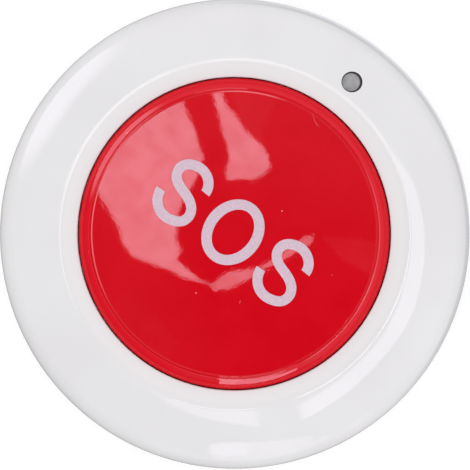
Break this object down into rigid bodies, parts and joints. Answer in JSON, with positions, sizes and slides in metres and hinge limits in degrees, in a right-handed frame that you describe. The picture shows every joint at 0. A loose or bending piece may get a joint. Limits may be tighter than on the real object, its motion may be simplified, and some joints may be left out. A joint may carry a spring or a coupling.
{
  "type": "wireless call button",
  "caption": "Round wireless call button: white domed housing, large red push cap with a printed distress legend, grey indicator window, coin cell behind a twist door.",
  "frame": {"origin": "middle of the flat back face, at the lowest point of the part", "axes": "+Z out of the back through the cap, +Y from the cap towards the indicator window, which is the top of the legend"},
  "size_m": [0.0666, 0.0666, 0.0172],
  "materials": {
    "white_plastic": "gloss",
    "red_plastic": "gloss",
    "print_white": "printed film",
    "grey_window": "tinted, slightly translucent",
    "led_resin": "clear resin",
    "board_laminate": "solder resist",
    "cell_steel": "satin",
    "plated_steel": "plated",
    "black_plastic": "moulded",
    "seal_rubber": "matt",
    "capacitor_ceramic": "ceramic",
    "copper_wire": "enamelled"
  },
  "bodies": {
    "housing": {"front_cover": "white_plastic", "rear_cover": "white_plastic", "housing_screws": "plated_steel", "housing_seal": "seal_rubber", "return_spring": "plated_steel", "indicator_lens": "grey_window", "indicator_led": "led_resin", "circuit_board": "board_laminate", "negative_contact": "plated_steel", "positive_contact": "plated_steel", "switch_base": "black_plastic", "switch_cover": "plated_steel", "switch_legs": "plated_steel", "snap_disc": "plated_steel", "encoder_chip": "black_plastic", "encoder_pins": "plated_steel", "resonator_can": "cell_steel", "rf_transistor": "black_plastic", "capacitors": "capacitor_ceramic", "resistors": "black_plastic", "antenna_coil": "copper_wire"},
    "button": {"button_cap": "red_plastic", "legend_print": "print_white"},
    "plunger": {"switch_plunger": "black_plastic"},
    "door": {"battery_door": "white_plastic", "door_seal": "seal_rubber", "coin_cell": "cell_steel"}
  },
  "joints": [
    {"name": "button_press", "type": "slide", "parent": "housing", "child": "button", "axis": [0, 0, -1], "range_m": [0, 0.0006], "stiffness_N_per_m": 1500, "springref_m": -0.0006, "deforming": ["return_spring"]},
    {"name": "plunger_press", "type": "slide", "parent": "housing", "child": "plunger", "axis": [0, 0, -1], "range_m": [0, 0.0006], "deforming": ["snap_disc"]},
    {"name": "door_twist", "type": "hinge", "parent": "housing", "child": "door", "pos_m": [0, 0, 0.001], "axis": [0, 0, -1], "range_deg": [0, 30]}
  ],
  "couplings": [
    {"joint": "plunger_press", "follows": "button_press", "ratio": 1}
  ]
}
